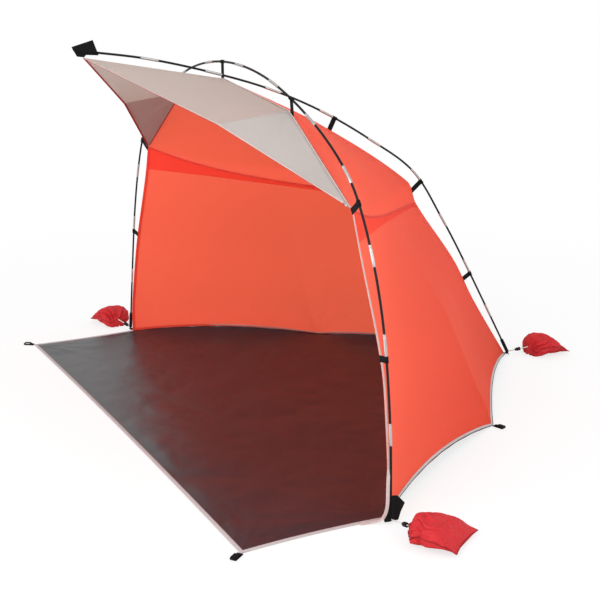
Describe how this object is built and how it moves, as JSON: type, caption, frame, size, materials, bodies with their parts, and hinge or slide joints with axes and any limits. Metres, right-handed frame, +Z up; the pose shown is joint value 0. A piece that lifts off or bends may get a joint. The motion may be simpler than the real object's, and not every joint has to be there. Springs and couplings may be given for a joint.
{
  "type": "beach tent",
  "caption": "Open-fronted beach shade tent: hoop and ridge poles carry a canopy with visor, walls and floor, held down by sandbags on short cords.",
  "frame": {"origin": "on the ground, midway between the hoop pole's two feet, on the floor sheet's underside", "axes": "+X to the right across the open front, +Y from the open front to the rear, +Z up"},
  "size_m": [2.7942, 2.1415, 1.3742],
  "materials": {
    "coral_cloth": "coated ripstop polyester",
    "grey_cloth": "coated plain-weave polyester",
    "floor_cloth": "coated groundsheet",
    "bag_cloth": "sewn polyester",
    "webbing": "woven webbing",
    "shock_cord": "braided elastic",
    "tether": "braided cord",
    "pole": "pultruded fibreglass",
    "lock": "moulded"
  },
  "bodies": {
    "tent": {"hoop_section_01": "pole", "hoop_section_02": "pole", "hoop_section_03": "pole", "hoop_section_04": "pole", "hoop_section_05": "pole", "hoop_section_06": "pole", "hoop_section_07": "pole", "hoop_section_08": "pole", "hoop_section_09": "pole", "hoop_section_10": "pole", "hoop_section_11": "pole", "hoop_section_12": "pole", "hoop_section_13": "pole", "hoop_section_14": "pole", "hoop_section_15": "pole", "ridge_section_01": "pole", "ridge_section_02": "pole", "ridge_section_03": "pole", "ridge_section_04": "pole", "ridge_section_05": "pole", "ridge_section_06": "pole", "ridge_section_07": "pole", "ridge_section_08": "pole", "ridge_section_09": "pole", "ridge_section_10": "pole", "hoop_shock_cord": "shock_cord", "ridge_shock_cord": "shock_cord", "roof_left": "coral_cloth", "roof_right": "coral_cloth", "wall_left": "coral_cloth", "wall_right": "coral_cloth", "visor_left": "grey_cloth", "visor_right": "grey_cloth", "floor_sheet": "floor_cloth", "apex_strap": "webbing", "shoulder_strap_left": "webbing", "shoulder_strap_right": "webbing", "corner_strap_left": "webbing", "corner_strap_right": "webbing", "side_strap_left": "webbing", "side_strap_right": "webbing", "roof_strap": "webbing", "rear_strap": "webbing", "tip_pocket": "webbing", "foot_pocket_left": "webbing", "foot_pocket_right": "webbing", "rear_pocket": "webbing"},
    "bag_left": {"sandbag_left": "bag_cloth", "tether_left": "tether"},
    "lock_left": {"cord_lock_left": "lock"},
    "bag_right": {"sandbag_right": "bag_cloth", "tether_right": "tether"},
    "lock_right": {"cord_lock_right": "lock"},
    "bag_rear": {"sandbag_rear": "bag_cloth", "tether_rear": "tether"},
    "lock_rear": {"cord_lock_rear": "lock"},
    "loop_front_left": {"peg_loop_front_left": "webbing"},
    "loop_front_right": {"peg_loop_front_right": "webbing"},
    "loop_side_left": {"peg_loop_side_left": "webbing"},
    "loop_side_right": {"peg_loop_side_right": "webbing"}
  },
  "joints": [
    {"name": "bag_swing_left", "type": "hinge", "parent": "tent", "child": "bag_left", "pos_m": [-1.14883, 0.00045, 0.012], "axis": [0, 0, 1], "range_deg": [-20, 25]},
    {"name": "lock_slide_left", "type": "slide", "parent": "bag_left", "child": "lock_left", "axis": [-0.7628, -0.5324, 0.367], "range_m": [-0.003, 0.033]},
    {"name": "bag_swing_right", "type": "hinge", "parent": "tent", "child": "bag_right", "pos_m": [1.14883, 0.00045, 0.012], "axis": [0, 0, 1], "range_deg": [-25, 25]},
    {"name": "lock_slide_right", "type": "slide", "parent": "bag_right", "child": "lock_right", "axis": [0.9633, -0.0688, 0.2594], "range_m": [-0.067, 0.001]},
    {"name": "bag_swing_rear", "type": "hinge", "parent": "tent", "child": "bag_rear", "pos_m": [0, 1.34302, 0.012], "axis": [0, 0, 1], "range_deg": [-25, 25]},
    {"name": "lock_slide_rear", "type": "slide", "parent": "bag_rear", "child": "lock_rear", "axis": [0.6198, 0.7247, 0.301], "range_m": [-0.026, 0.0275]},
    {"name": "loop_lift_front_left", "type": "hinge", "parent": "tent", "child": "loop_front_left", "pos_m": [-1.11326, -0.4724, 0.00285], "axis": [-0.809, 0.5878, 0], "range_deg": [0, 90]},
    {"name": "loop_lift_front_right", "type": "hinge", "parent": "tent", "child": "loop_front_right", "pos_m": [1.11326, -0.4724, 0.00285], "axis": [-0.809, -0.5878, 0], "range_deg": [0, 90]},
    {"name": "loop_lift_side_left", "type": "hinge", "parent": "tent", "child": "loop_side_left", "pos_m": [-0.66491, 0.7566, 0.00285], "axis": [0.2756, 0.9613, 0], "range_deg": [0, 90]},
    {"name": "loop_lift_side_right", "type": "hinge", "parent": "tent", "child": "loop_side_right", "pos_m": [0.66491, 0.7566, 0.00285], "axis": [0.2756, -0.9613, 0], "range_deg": [0, 90]}
  ]
}
